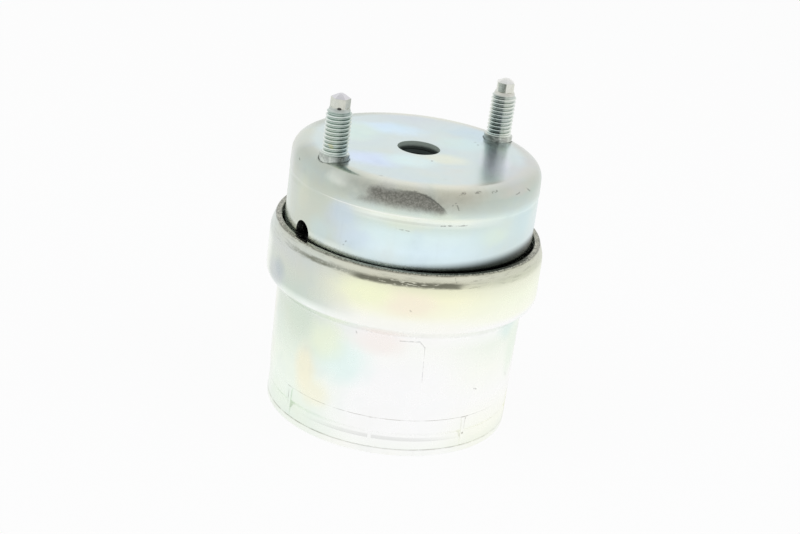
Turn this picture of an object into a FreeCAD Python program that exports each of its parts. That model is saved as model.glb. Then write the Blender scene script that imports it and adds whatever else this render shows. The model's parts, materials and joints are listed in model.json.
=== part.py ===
import FreeCAD, Part
import math
import os

# Hydraulic engine mount: a drawn cup with two studs sits on a conical rubber spring,
# which is clamped with an inertia-track assembly in the collar of a deep-drawn can.
# Millimetres, +Z up. Origin: centre of the underside. The studs lie on the X axis.

# ---- Whole mount ----
total_height = 88.0             # underside to the flat top seat

# ---- Upper cup ----
cup_sheet = 2.5
cup_corner = 5.2                # outside radius between seat and wall
cup_draft = 0.3                 # the wall above the groove leans in towards the corner
cup_groove_drop = 9.0           # top seat to the ridge above the rolled groove
cup_groove_depth = 0.45
cup_groove_height = 1.1         # ridge to the groove's bottom
cup_groove_bend = 1.0
cup_skirt_inset = 0.1           # the skirt below the groove is this much narrower than the ridge
cup_edge_overlap = 5.0          # how far the cup's edge sits below the collar's rim
cup_rim_gap = 0.7               # between the cup's wall and the collar's rim
centre_hole_radius = 6.7
drain_hole_radius = 3.7
drain_hole_drop = 24.3          # top seat to the drain hole's centre
drain_hole_angle = 175.6        # degrees round from +X

# ---- Studs ----
stud_inset = 7.0                # cup's wall to the stud's axis
stud_thread_radius = 4.0
stud_neck_radius = 4.6
stud_neck_height = 1.7
stud_thread_length = 13.4
stud_runout = 0.9               # cone between thread and hexagonal end
stud_hex_flats = 5.3            # hexagonal end, across flats
stud_hex_length = 2.7
stud_tip_height = 1.6
stud_tip_radius = 1.0
stud_head_radius = 6.0
stud_head_height = 2.2
stud_hole_clearance = 0.15

# ---- Lower housing ----
housing_sheet = 2.0
collar_radius = 43.5
collar_step = 4.1               # how much narrower the can is than the collar
foot_draw = 0.35                # the can draws in slightly towards its foot
rim_drop = 25.3                 # top seat to the collar's rim
rim_lean = 1.5                  # how far the rim leans inwards
rim_bend_height = 4.2           # height over which the collar leans in to the rim
rim_bend_outside = 8.0
rim_bend_inside = 6.0
rim_edge_round = 0.45
shoulder_drop = 43.4            # top seat to the corner where the collar starts to narrow
shoulder_bend = 3.0
crimp_height = 10.3             # band pressed by the jaws, above the can's foot
crimp_depth = 0.25              # at the band's top
crimp_foot_depth = 0.06         # at the can's foot
crimp_jaws = 8
crimp_ridge = 1.1               # unpressed ridge between two jaws
crimp_corner = 1.8
crimp_groove_rise = 4.3         # foot of the can to the middle of the locking groove
crimp_groove_depth = 0.55
crimp_groove_width = 2.4

# ---- Base plate and bush ----
base_flange_height = 2.5
base_edge_round = 1.9
base_rim_width = 4.0            # upstanding rim inside the can's foot
base_rim_clearance = 0.1
base_panel_thickness = 3.0
base_vent_radius = 2.0
base_vent_offset = 22.0
bush_thread_radius = 5.1        # M12 core hole
bush_radius = 9.0
bush_flange_radius = 12.0
bush_flange_height = 3.0
bush_height = 15.0

# ---- Stack clamped on the shoulder ----
bead_rise = 1.1                 # bead's top above the collar's inner corner
track_flange = 1.5
upper_plate_sheet = 1.2
ring_flange = 2.0
stop_skin = 0.8                 # rubber over the ring, under the cup's edge
stack_clearance = 0.05
sleeve_wall = 1.05
sleeve_rim_drop = 2.9           # collar's rim to the sleeve's top
sleeve_rim_clearance = 0.1
sleeve_chamfer = 1.0            # how far below the rim's bend the sleeve starts to lean

# ---- Rubber spring, its core and its ring ----
core_top_radius = 20.0
core_top_height = 9.0
core_tip_radius = 10.0
core_height = 28.0
core_thread_radius = 5.1        # M12 core hole
core_thread_depth = 20.0
core_chamfer = 0.9
fill_channel_radius = 1.5
fill_ball_radius = 2.4
fill_ball_seat = 3.2            # depth of the ball's counterbore in the core's tip
ring_funnel_width = 7.0         # from the upstanding wall in to the funnel's narrow end
ring_cup_gap = 1.3              # cup's inner face to the ring's upstanding wall
ring_top_width = 1.6
ring_height = 9.0
spring_top_land = 4.0           # how far the rubber stays below the cup on the core
spring_collar_wall = 1.2        # rubber round the top of the core
spring_waist = 3.0
spring_foot_lip = 1.0           # rubber inside the funnel's narrow end
spring_foot_gap = 0.3
chamber_slope = 6.0             # the chamber's roof: shallow by the core, then steeper
chamber_drop = 4.0
core_cover = 1.0                # rubber edge above the core's tip

# ---- Inertia track ----
track_wall_gap = 2.8            # track body to the can's wall
track_depth = 12.5              # below its flange's top
channel_wall = 2.8              # outside the channel
channel_width = 5.2
channel_depth = 8.0
channel_sweep = 325.0           # degrees
port_width = 14.0               # degrees of channel opened by each port
pocket_wall = 5.0               # between the decoupler's pocket and the channel
pocket_depth = 3.5
grid_thickness = 2.6
grid_hole_radius = 2.1
grid_inner_circle = 7.0
grid_inner_count = 6
grid_outer_circle = 14.5
grid_outer_count = 12
membrane_play = 0.25
membrane_web = 1.6
membrane_rim = 3.0
rivet_radius = 1.5
rivet_head_radius = 2.3
rivet_head_height = 0.8
rivet_count = 4
seal_section_radius = 0.9
seal_inset = 3.5                # from the funnel's narrow end out to the seal

# ---- Rolling diaphragm ----
diaphragm_wall = 1.5
diaphragm_clearance = 0.3       # to the can's wall
diaphragm_hang = 22.0           # from the bead's top down to the roll
diaphragm_roll_width = 7.0
diaphragm_slope_width = 6.0     # from the roll in to the dome
diaphragm_outer_bend = 3.0
diaphragm_inner_bend = 2.8
diaphragm_dome_bend = 5.0
diaphragm_dome_rise = 6.0
bead_corner = 0.8               # rubber left round the carrier's flange
carrier_sheet = 0.8
carrier_depth = 7.0

# ---- Levels and radii that follow from the sizes above ----
can_radius = collar_radius - collar_step
can_foot_radius = can_radius - foot_draw
rim_inner_radius = collar_radius - housing_sheet - rim_lean
skirt_radius = rim_inner_radius - cup_rim_gap
cup_radius = skirt_radius + cup_skirt_inset
ring_wall_radius = skirt_radius - cup_sheet - ring_cup_gap
ring_neck_radius = ring_wall_radius - ring_funnel_width
seal_radius = ring_neck_radius + seal_inset
seat_z = total_height
cup_inside_z = seat_z - cup_sheet
rim_z = seat_z - rim_drop
cup_edge_z = rim_z - cup_edge_overlap
stud_offset = cup_radius - stud_inset
collar_inner = collar_radius - housing_sheet
can_inner = can_radius - housing_sheet
foot_inner = can_foot_radius - housing_sheet
shoulder_z = seat_z - shoulder_drop
foot_z = base_flange_height
track_radius = can_inner - track_wall_gap
channel_outer_radius = track_radius - channel_wall
channel_inner_radius = channel_outer_radius - channel_width
pocket_radius = channel_inner_radius - pocket_wall
rivet_circle_radius = pocket_radius + pocket_wall / 2
half_bend = math.tan(math.radians(22.5))
shoulder_inner_z = shoulder_z + housing_sheet * half_bend
bead_z = shoulder_inner_z + bead_rise
plate_z = bead_z + track_flange
ring_z = plate_z + upper_plate_sheet
ring_top_z = ring_z + ring_flange
stack_radius = collar_inner - stack_clearance
track_floor_z = plate_z - track_depth
core_tip_z = cup_inside_z - core_height
Z_AXIS = FreeCAD.Vector(0, 0, 1)
ORIGIN = FreeCAD.Vector(0, 0, 0)


def point(radius, height):
    """A point of a section, in the XZ plane."""
    return FreeCAD.Vector(radius, 0, height)


def rounded_edges(corners, closed):
    """Straight edges with tangent arcs. Each corner is (radius, height, rounding)."""
    points = [point(r, z) for r, z, _ in corners]
    count = len(points)
    trims = []
    for i, (_, _, rounding) in enumerate(corners):
        inside = closed or 0 < i < count - 1
        if rounding <= 0 or not inside:
            trims.append(0.0)
            continue
        before = points[i - 1] - points[i]
        after = points[(i + 1) % count] - points[i]
        half_turn = (math.pi - before.getAngle(after)) / 2
        room = 0.49 * min(before.Length, after.Length)
        trims.append(min(rounding * math.tan(half_turn), room))
    edges = []
    start = None
    last = count if closed else count - 1
    for i in range(last):
        a, b = points[i], points[(i + 1) % count]
        way = (b - a).normalize()
        leave = a + way * trims[i]
        arrive = b - way * trims[(i + 1) % count]
        if start is None:
            first = leave
        else:
            edges += corner_arc(start, a, leave)
        if (arrive - leave).Length > 1e-6:
            edges.append(Part.LineSegment(leave, arrive).toShape())
        start = arrive
    if closed:
        edges += corner_arc(start, points[0], first)
    return edges


def corner_arc(start, corner, end):
    """The arc that is tangent to both sides of a corner, between its two trim points."""
    if (end - start).Length < 1e-6:
        return []
    to_start = (start - corner).normalize()
    to_end = (end - corner).normalize()
    half = to_start.getAngle(to_end) / 2
    bisector = (to_start + to_end).normalize()
    trim = (start - corner).Length
    rounding = trim * math.tan(half)
    middle = corner + bisector * (trim / math.cos(half) - rounding)
    return [Part.Arc(start, middle, end).toShape()]


def turned(corners, angle=360.0):
    """A solid of revolution about Z from a closed, rounded section."""
    wire = Part.Wire(rounded_edges(corners, True))
    solid = Part.Face(wire).revolve(ORIGIN, Z_AXIS, angle)
    return Part.Solid(solid.Shells[0]) if solid.ShapeType != "Solid" else solid


def offset_line(line, thickness):
    """The line moved to its left by thickness, with bends kept concentric."""
    ways = [(point(b[0], b[1]) - point(a[0], a[1])).normalize() for a, b in zip(line, line[1:])]
    lefts = [FreeCAD.Vector(-way.z, 0, way.x) for way in ways]
    moved = []
    for i, (r, z, bend) in enumerate(line):
        before = lefts[max(i - 1, 0)]
        after = lefts[min(i, len(lefts) - 1)]
        sideways = (before + after) / (1 + before.dot(after))
        turn = ways[max(i - 1, 0)].cross(ways[min(i, len(ways) - 1)]).y
        inner = bend + thickness if turn > 0 else max(bend - thickness, 0)
        moved.append((r + sideways.x * thickness, z + sideways.z * thickness, inner if bend else 0))
    return moved


def pressed(line, thickness):
    """A turned sheet part: the sheet lies to the left of the line of its outer face."""
    return turned(line + list(reversed(offset_line(line, thickness))))


def cylinder(radius, bottom, top, x=0.0, y=0.0):
    return Part.makeCylinder(radius, top - bottom, FreeCAD.Vector(x, y, bottom))


def around(count, start=0.0):
    """Evenly spaced angles in degrees."""
    return [start + i * 360.0 / count for i in range(count)]


def polar(radius, degrees):
    return radius * math.cos(math.radians(degrees)), radius * math.sin(math.radians(degrees))


def centre_hole(radius, bottom, top):
    return cylinder(radius, bottom, top)


def cup_outline():
    """Outer face of the cup, from its lower edge up to the axis."""
    ridge_z = seat_z - cup_groove_drop
    return [
        (skirt_radius, cup_edge_z, 0),
        (skirt_radius, ridge_z - 2 * cup_groove_height, cup_groove_bend),
        (cup_radius - cup_groove_depth, ridge_z - cup_groove_height, cup_groove_bend),
        (cup_radius, ridge_z, cup_groove_bend),
        (cup_radius - cup_draft, seat_z, cup_corner),
        (0, seat_z, 0),
    ]


def upper_cup():
    cup = pressed(cup_outline(), cup_sheet)
    cup = cup.cut(centre_hole(centre_hole_radius, cup_inside_z - 1, seat_z + 1))
    for side in (-1, 1):
        hole_radius = stud_neck_radius + stud_hole_clearance
        cup = cup.cut(cylinder(hole_radius, cup_inside_z - 1, seat_z + 1, side * stud_offset))
    drain = Part.makeCylinder(
        drain_hole_radius, cup_radius, FreeCAD.Vector(0, 0, seat_z - drain_hole_drop), FreeCAD.Vector(1, 0, 0)
    )
    drain.rotate(ORIGIN, Z_AXIS, drain_hole_angle)
    return cup.cut(drain)


def cup_cavity():
    """The space inside the cup, which trims what is fitted under its corner."""
    return turned(offset_line(cup_outline(), cup_sheet) + [(0, cup_edge_z, 0)])


def stud(side):
    neck_z = seat_z + stud_neck_height
    thread_z = neck_z + stud_thread_length
    hex_z = thread_z + stud_runout
    shoulder = hex_z + stud_hex_length
    tip_z = shoulder + stud_tip_height
    corner_radius = stud_hex_flats / math.sqrt(3)
    shank = turned([
        (0, cup_inside_z, 0),
        (stud_neck_radius, cup_inside_z, 0),
        (stud_neck_radius, neck_z, 0.6),
        (stud_thread_radius, neck_z, 0),
        (stud_thread_radius, thread_z, 0),
        (corner_radius, hex_z, 0),
        (0, hex_z, 0),
    ])
    hexagon = [polar(corner_radius, angle) for angle in around(6)]
    hexagon = [FreeCAD.Vector(x, y, hex_z) for x, y in hexagon]
    end = Part.Face(Part.makePolygon(hexagon + hexagon[:1])).extrude(FreeCAD.Vector(0, 0, tip_z - hex_z))
    pilot = turned([
        (0, hex_z, 0),
        (corner_radius, hex_z, 0),
        (corner_radius, shoulder, 0),
        (stud_tip_radius, tip_z, 0),
        (0, tip_z, 0),
    ])
    body = shank.fuse(end.common(pilot))
    body.translate(FreeCAD.Vector(side * stud_offset, 0, 0))
    head = cylinder(stud_head_radius, cup_inside_z - stud_head_height, cup_inside_z, side * stud_offset)
    return body.fuse(head.common(cup_cavity())).removeSplitter()


def inner_core():
    top_z = cup_inside_z
    core = turned([
        (0, core_tip_z, 0),
        (core_tip_radius, core_tip_z, 1.5),
        (core_top_radius, top_z - core_top_height, 3.0),
        (core_top_radius, top_z, 0.8),
        (0, top_z, 0),
    ])
    bore_floor = top_z - core_thread_depth
    drill_point = core_thread_radius * math.tan(math.radians(31))
    bore = turned([
        (0, bore_floor - drill_point, 0),
        (core_thread_radius, bore_floor, 0),
        (core_thread_radius, top_z - core_chamfer, 0),
        (core_thread_radius + core_chamfer, top_z, 0),
        (core_thread_radius + core_chamfer, top_z + 1, 0),
        (0, top_z + 1, 0),
    ])
    channel = cylinder(fill_channel_radius, core_tip_z - 1, bore_floor)
    seat = cylinder(fill_ball_radius, core_tip_z - 1, core_tip_z + fill_ball_seat)
    return core.cut(bore).cut(channel).cut(seat)


def fill_ball():
    centre_z = core_tip_z + fill_ball_seat - fill_ball_radius
    return Part.makeSphere(fill_ball_radius, FreeCAD.Vector(0, 0, centre_z))


def ring_outline():
    """Section of the outer ring: flange, upstanding wall and conical funnel."""
    wall_top = ring_top_z + ring_height
    return [
        (ring_neck_radius, ring_z, 0.6),
        (stack_radius, ring_z, 0),
        (stack_radius, ring_top_z, 0),
        (ring_wall_radius, ring_top_z, 1.0),
        (ring_wall_radius, wall_top, 0.7),
        (ring_wall_radius - ring_top_width, wall_top, 0.7),
        (ring_neck_radius, ring_z + ring_flange, 1.0),
    ]


def spring_outer_ring():
    groove = Part.makeTorus(seal_radius, seal_section_radius, FreeCAD.Vector(0, 0, ring_z))
    return turned(ring_outline()).cut(groove)


def spring_section():
    """Section of the rubber: it fills the space between core and funnel, and skins the ring."""
    top_z = cup_inside_z - spring_top_land
    chamber_z = core_tip_z + core_cover
    sleeve_inner = stack_radius - sleeve_wall
    ring_crown = ring_top_z + ring_height + stop_skin
    return [
        (0, chamber_z, 0),
        (0, top_z, 0),
        (core_top_radius + spring_collar_wall, top_z, 1.0),
        (core_top_radius + spring_waist, top_z - core_top_height, 8.0),
        (ring_wall_radius - ring_top_width, ring_crown, 2.0),
        (ring_wall_radius + stop_skin, ring_crown, 1.2),
        (ring_wall_radius + stop_skin, ring_top_z + stop_skin, 1.0),
        (sleeve_inner, ring_top_z + stop_skin, 0),
        (sleeve_inner, ring_top_z, 0),
        (ring_neck_radius - spring_foot_lip, ring_z + spring_foot_gap, 0),
        (ring_neck_radius - spring_foot_lip, ring_top_z, 1.5),
        (core_tip_radius + chamber_slope, chamber_z - chamber_drop, chamber_slope),
    ]


def rubber_spring():
    rubber = turned(spring_section())
    return rubber.cut(turned(ring_outline())).cut(core_blank())


def core_blank():
    """The core without its bore, as the rubber is moulded round it."""
    return turned([
        (0, core_tip_z - 5, 0),
        (core_tip_radius, core_tip_z - 5, 0),
        (core_tip_radius, core_tip_z, 0),
        (core_top_radius, cup_inside_z - core_top_height, 3.0),
        (core_top_radius, cup_inside_z, 0),
        (0, cup_inside_z, 0),
    ])


def spacer_sleeve():
    """Carries the crimp force from the rim to the ring's flange; its top leans with the rim."""
    top_z = rim_z - sleeve_rim_drop
    bend_z = rim_z - rim_bend_height
    lean_run = (top_z - bend_z) * rim_lean / rim_bend_height
    return turned([
        (stack_radius - sleeve_wall, ring_top_z, 0),
        (stack_radius, ring_top_z, 0),
        (stack_radius, bend_z - sleeve_chamfer, 0),
        (stack_radius - lean_run - sleeve_rim_clearance, top_z, 0),
        (stack_radius - sleeve_wall, top_z, 0),
    ])


def track_seal():
    ring = Part.makeTorus(seal_radius, seal_section_radius, FreeCAD.Vector(0, 0, ring_z))
    above = cylinder(seal_radius * 2, ring_z, ring_z + 2 * seal_section_radius)
    return ring.common(above)


def channel_sector(inner, outer, bottom, top, start, sweep):
    """A block of the annular channel, between two angles."""
    sector = turned([(inner, bottom, 0), (outer, bottom, 0), (outer, top, 0), (inner, top, 0)], sweep)
    sector.rotate(ORIGIN, Z_AXIS, start)
    return sector


def grid_holes(bottom, top):
    holes = [cylinder(grid_hole_radius, bottom, top)]
    for circle, count in ((grid_inner_circle, grid_inner_count), (grid_outer_circle, grid_outer_count)):
        for angle in around(count):
            x, y = polar(circle, angle)
            holes.append(cylinder(grid_hole_radius, bottom, top, x, y))
    return Part.makeCompound(holes)


def rivet_places():
    return [polar(rivet_circle_radius, angle) for angle in around(rivet_count, 45.0)]


def track_upper_plate():
    plate = cylinder(stack_radius, plate_z, ring_z)
    plate = plate.cut(grid_holes(plate_z - 1, ring_z + 1))
    inlet = channel_sector(
        channel_inner_radius, channel_outer_radius, plate_z - 1, ring_z + 1, 0.0, port_width
    )
    plate = plate.cut(inlet)
    for x, y in rivet_places():
        plate = plate.cut(cylinder(rivet_radius, plate_z - 1, ring_z + 1, x, y))
    return plate


def track_body():
    pocket_z = plate_z - pocket_depth
    grid_z = pocket_z - grid_thickness
    body = turned([
        (0, grid_z, 0),
        (pocket_radius - 0.8, grid_z, 1.0),
        (pocket_radius, track_floor_z, 0),
        (track_radius, track_floor_z, 1.0),
        (track_radius, bead_z, 0),
        (stack_radius, bead_z, 0),
        (stack_radius, plate_z, 0),
        (pocket_radius, plate_z, 0),
        (pocket_radius, pocket_z, 0.5),
        (0, pocket_z, 0),
    ])
    body = body.cut(channel_sector(
        channel_inner_radius, channel_outer_radius, plate_z - channel_depth, plate_z + 1, 0.0, channel_sweep
    ))
    body = body.cut(channel_sector(
        channel_inner_radius, channel_outer_radius, track_floor_z - 1, plate_z - channel_depth + 0.5,
        channel_sweep - port_width, port_width
    ))
    for x, y in rivet_places():
        body = body.cut(cylinder(rivet_radius, track_floor_z - 1, plate_z + 1, x, y))
    return body.cut(grid_holes(grid_z - 1, pocket_z + 1))


def decoupler_membrane():
    """Disc with a thicker rim, loose by membrane_play above, below and round its edge."""
    middle_z = plate_z - pocket_depth / 2
    rim = membrane_rim / 2
    web = membrane_web / 2
    radius = pocket_radius - membrane_play
    return turned([
        (0, middle_z - web, 0),
        (radius - 3.5, middle_z - web, 0.8),
        (radius - 2.5, middle_z - rim, 0.8),
        (radius, middle_z - rim, 0.8),
        (radius, middle_z + rim, 0.8),
        (radius - 2.5, middle_z + rim, 0.8),
        (radius - 3.5, middle_z + web, 0.8),
        (0, middle_z + web, 0),
    ])


def track_rivets():
    rivets = []
    for x, y in rivet_places():
        shank = cylinder(rivet_radius, track_floor_z, ring_z, x, y)
        upper = cylinder(rivet_head_radius, ring_z, ring_z + rivet_head_height, x, y)
        lower = cylinder(rivet_head_radius, track_floor_z - rivet_head_height, track_floor_z, x, y)
        rivets.append(shank.fuse([upper, lower]).removeSplitter())
    return Part.makeCompound(rivets)


def bead_inner_radius():
    return track_radius + 0.2


def diaphragm_ring():
    """Steel carrier: a sleeve with a flange, which stiffens the bellows' bead."""
    inner = bead_inner_radius()
    return turned([
        (inner, bead_z - carrier_depth, 0.3),
        (inner + carrier_sheet, bead_z - carrier_depth, 0.3),
        (inner + carrier_sheet, bead_z - carrier_sheet, 0.4),
        (stack_radius - bead_corner, bead_z - carrier_sheet, 0),
        (stack_radius - bead_corner, bead_z, 0),
        (inner, bead_z, 0),
    ])


def diaphragm():
    """Bead on the shoulder, then a thin wall that hangs, rolls inwards and rises to a dome."""
    outer = can_inner - diaphragm_clearance
    roll_z = bead_z - diaphragm_hang
    inward = outer - diaphragm_roll_width
    sleeve_end = bead_z - carrier_depth - diaphragm_wall
    bead = turned([
        (bead_inner_radius(), sleeve_end, 0.6),
        (outer, sleeve_end, 0),
        (outer, shoulder_inner_z - collar_step, 0),
        (stack_radius, shoulder_inner_z - collar_step, 0),
        (stack_radius, bead_z, 0),
        (bead_inner_radius(), bead_z, 0),
    ])
    bead = bead.common(housing_cavity()).cut(diaphragm_ring())
    bellows = pressed([
        (0, roll_z + diaphragm_dome_rise, 0),
        (inward - diaphragm_slope_width, roll_z + diaphragm_dome_rise, diaphragm_dome_bend),
        (inward, roll_z, diaphragm_inner_bend),
        (outer, roll_z, diaphragm_outer_bend),
        (outer, bead_z - carrier_depth - 1.0, 0),
    ], diaphragm_wall)
    return bead.fuse(bellows).removeSplitter()


def housing_wall():
    """The housing's inner face, from the rim down to the foot."""
    return [
        (rim_inner_radius, rim_z, 0),
        (collar_inner, rim_z - rim_bend_height, rim_bend_inside),
        (collar_inner, shoulder_inner_z, shoulder_bend - housing_sheet),
        (can_inner, shoulder_inner_z - collar_step, shoulder_bend + housing_sheet),
        (foot_inner, foot_z, 0),
    ]


def housing_cavity():
    """The space inside the housing, which shapes the rubber that is pressed against it."""
    return turned([(0, rim_z, 0)] + housing_wall() + [(0, foot_z, 0)])


def crimp_jaw():
    """What one jaw presses into the can: a shallow band with round upper corners and a groove."""
    band = can_foot_radius - crimp_depth
    far = can_radius + 2.0
    groove_z = foot_z + crimp_groove_rise
    half = crimp_groove_width / 2
    sweep = 360.0 / crimp_jaws - math.degrees(crimp_ridge / can_foot_radius)
    top = foot_z + crimp_height
    jaw = turned([
        (can_foot_radius - crimp_foot_depth, foot_z, 0),
        (can_foot_radius - crimp_foot_depth, foot_z - 2.0, 0),
        (far, foot_z - 2.0, 0),
        (far, top, 0),
        (band, top, 0),
    ], sweep)
    sides = [edge for edge in jaw.Edges if is_upper_corner(edge, band, top)]
    jaw = jaw.makeFillet(crimp_corner, sides)
    groove = turned([
        (band + 0.5, groove_z - half - 0.5, 0),
        (band + 0.5, groove_z + half + 0.5, 0),
        (band, groove_z + half, 1.0),
        (band - crimp_groove_depth, groove_z, 1.2),
        (band, groove_z - half, 1.0),
    ], sweep)
    jaw = jaw.fuse(groove)
    jaw.rotate(ORIGIN, Z_AXIS, math.degrees(crimp_ridge / can_foot_radius) / 2)
    return jaw


def is_upper_corner(edge, band, top):
    """True for the straight radial edges where a jaw's top meets its two sides."""
    box = edge.BoundBox
    straight = isinstance(edge.Curve, Part.Line)
    return straight and abs(box.ZMin - top) < 1e-6 and abs(box.ZMax - top) < 1e-6


def lower_housing():
    bend_z = rim_z - rim_bend_height
    outer_rim = rim_inner_radius + housing_sheet
    housing = turned([
        (can_foot_radius, foot_z, 0.3),
        (can_radius, shoulder_z - collar_step, shoulder_bend),
        (collar_radius, shoulder_z, shoulder_bend),
        (collar_radius, bend_z, rim_bend_outside),
        (outer_rim, rim_z, rim_edge_round),
        (rim_inner_radius, rim_z, rim_edge_round),
    ] + housing_wall()[1:])
    jaw = crimp_jaw()
    for angle in around(crimp_jaws):
        cutter = jaw.copy()
        cutter.rotate(ORIGIN, Z_AXIS, angle)
        housing = housing.cut(cutter)
    return housing.fuse(crimp_bead(0.0)).removeSplitter()


def crimp_bead(clearance):
    """The inward bead that the crimp raises inside the can's foot."""
    groove_z = foot_z + crimp_groove_rise
    half = crimp_groove_width / 2 + clearance
    tip = foot_inner - crimp_groove_depth - clearance
    return turned([
        (foot_inner + 0.3, groove_z + half, 0),
        (foot_inner - clearance, groove_z + half, 0.4),
        (tip, groove_z, 1.0),
        (foot_inner - clearance, groove_z - half, 0.4),
        (foot_inner + 0.3, groove_z - half, 0),
    ])


def base_plate():
    rim_outer = foot_inner - base_rim_clearance
    rim_top = foot_z + crimp_height
    plate = turned([
        (0, 0, 0),
        (can_foot_radius, 0, base_edge_round),
        (can_foot_radius, base_flange_height, 0.3),
        (rim_outer, base_flange_height, base_rim_clearance),
        (rim_outer, rim_top, 0.8),
        (rim_outer - base_rim_width, rim_top, 0.8),
        (rim_outer - base_rim_width, base_panel_thickness, 2.0),
        (0, base_panel_thickness, 0),
    ])
    plate = plate.cut(crimp_bead(base_rim_clearance))
    plate = plate.cut(cylinder(bush_radius, -1, base_panel_thickness + 1))
    return plate.cut(cylinder(base_vent_radius, -1, base_panel_thickness + 1, 0, base_vent_offset))


def base_bush():
    flange_top = base_panel_thickness + bush_flange_height
    bush = turned([
        (bush_thread_radius, 0, 0),
        (bush_radius, 0, 0.3),
        (bush_radius, base_panel_thickness, 0),
        (bush_flange_radius, base_panel_thickness, 0.3),
        (bush_flange_radius, flange_top, 0.6),
        (bush_radius, flange_top, 0.6),
        (bush_radius, bush_height, 0.6),
        (bush_thread_radius, bush_height, 0),
    ])
    return bush


os.makedirs("parts", exist_ok=True)
sub_parts = {
    "upper_cup": upper_cup(),
    "stud_left": stud(-1),
    "stud_right": stud(1),
    "inner_core": inner_core(),
    "fill_ball": fill_ball(),
    "rubber_spring": rubber_spring(),
    "spring_outer_ring": spring_outer_ring(),
    "spacer_sleeve": spacer_sleeve(),
    "track_seal": track_seal(),
    "track_upper_plate": track_upper_plate(),
    "track_body": track_body(),
    "decoupler_membrane": decoupler_membrane(),
    "track_rivets": track_rivets(),
    "diaphragm_ring": diaphragm_ring(),
    "diaphragm": diaphragm(),
    "lower_housing": lower_housing(),
    "base_plate": base_plate(),
    "base_bush": base_bush(),
}
for name, shape in sub_parts.items():
    shape.exportStep("parts/" + name + ".step")
    print(name, "solids", len(shape.Solids), "valid", shape.isValid(), "volume", round(shape.Volume, 1))
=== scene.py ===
import json
import math

import bmesh
import bpy
from mathutils import Matrix, Vector

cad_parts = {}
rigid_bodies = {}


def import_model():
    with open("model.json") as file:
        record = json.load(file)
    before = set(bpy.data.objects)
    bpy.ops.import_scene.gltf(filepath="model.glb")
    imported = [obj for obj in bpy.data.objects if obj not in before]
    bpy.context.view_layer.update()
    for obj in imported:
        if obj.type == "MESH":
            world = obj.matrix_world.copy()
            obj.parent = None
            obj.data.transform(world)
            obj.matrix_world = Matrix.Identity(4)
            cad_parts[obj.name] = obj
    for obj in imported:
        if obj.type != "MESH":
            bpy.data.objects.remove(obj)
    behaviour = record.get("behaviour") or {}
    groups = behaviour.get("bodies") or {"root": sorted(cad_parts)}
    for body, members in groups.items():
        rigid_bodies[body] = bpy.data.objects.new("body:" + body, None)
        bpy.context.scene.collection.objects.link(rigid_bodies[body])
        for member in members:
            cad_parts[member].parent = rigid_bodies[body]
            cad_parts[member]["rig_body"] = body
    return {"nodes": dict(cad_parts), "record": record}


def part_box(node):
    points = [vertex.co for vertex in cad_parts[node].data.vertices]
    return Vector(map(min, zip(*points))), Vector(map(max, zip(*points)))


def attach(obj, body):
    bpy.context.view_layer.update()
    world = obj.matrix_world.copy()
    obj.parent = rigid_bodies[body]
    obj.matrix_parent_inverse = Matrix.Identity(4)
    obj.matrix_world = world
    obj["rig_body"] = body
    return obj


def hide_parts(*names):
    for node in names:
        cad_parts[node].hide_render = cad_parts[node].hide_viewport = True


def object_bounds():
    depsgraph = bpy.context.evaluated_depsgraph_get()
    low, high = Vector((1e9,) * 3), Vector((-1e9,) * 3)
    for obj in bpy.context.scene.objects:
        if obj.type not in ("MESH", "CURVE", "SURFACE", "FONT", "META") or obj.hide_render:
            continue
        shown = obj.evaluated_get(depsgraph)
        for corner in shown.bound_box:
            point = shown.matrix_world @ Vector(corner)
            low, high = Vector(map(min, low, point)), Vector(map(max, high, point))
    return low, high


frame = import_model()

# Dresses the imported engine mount: zinc-plated shells with their wear, threaded studs,
# rubber, and a plain white studio. Metres; finishes count in millimetres and degrees.

MM = 0.001

# The start-up objects go; what the import brought in stays.
for extra in [o for o in bpy.data.objects if "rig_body" not in o and not o.name.startswith("body:")]:
    bpy.data.objects.remove(extra)
cad_low, cad_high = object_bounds()

# ---- Sizes read from the frame ----
cup_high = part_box("upper_cup")[1]
SEAT_Z = cup_high.z                     # flat top of the cup
CUP_R = cup_high.x
CENTRE_HOLE_R = 6.7                     # millimetres
MOUNTS = {mount["name"]: mount for mount in frame["record"]["mounts"]}
STUD_SPACING = MOUNTS["stud_pattern"]["dims"]["spacing_x_mm"] * MM

# ---- Camera ----
CAMERA_TURN = -39.9                     # degrees; 0 looks along +Y
CAMERA_RISE = 21.67
CAMERA_ROLL = 7.60
CAMERA_DISTANCE = 0.540                 # to the point aimed at
CAMERA_LENS = 77.96
CAMERA_SENSOR = 36.0
CAMERA_CLIP = (0.01, 20.0)
AIM_LEFT = 0.00587                      # the point aimed at, from the centre of the top seat
AIM_DOWN = 0.03716

DEGREE_ARC = CUP_R / MM * math.pi / 180  # millimetres round the wall to a degree

# ---- Light ----
WHITE = (1, 1, 1)
FILL_COLOUR = (0.97, 0.98, 1.0)
WORLD_FILL = 0.62                       # what matt surfaces get from all round
FLOOR_COLOUR = (0.97, 0.97, 0.97, 1)
FLOOR_SIZE = 6.0
FLOOR_GAP = 0.00002                     # the floor lies this much below the foot
FLOOR_SHADOW_SHARE = 0.10               # of the floor that the camera sees, what takes the shadow
ROOM_RISE = 60.0                        # the dim part of the room, above the camera's side
ROOM_EDGE = (0.35, 0.85)                # cosines between which it dims
ROOM_LEVEL = 0.82
SOFTBOX_SIZE = 1.4
SOFTBOX_DISTANCE = 1.6

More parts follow.
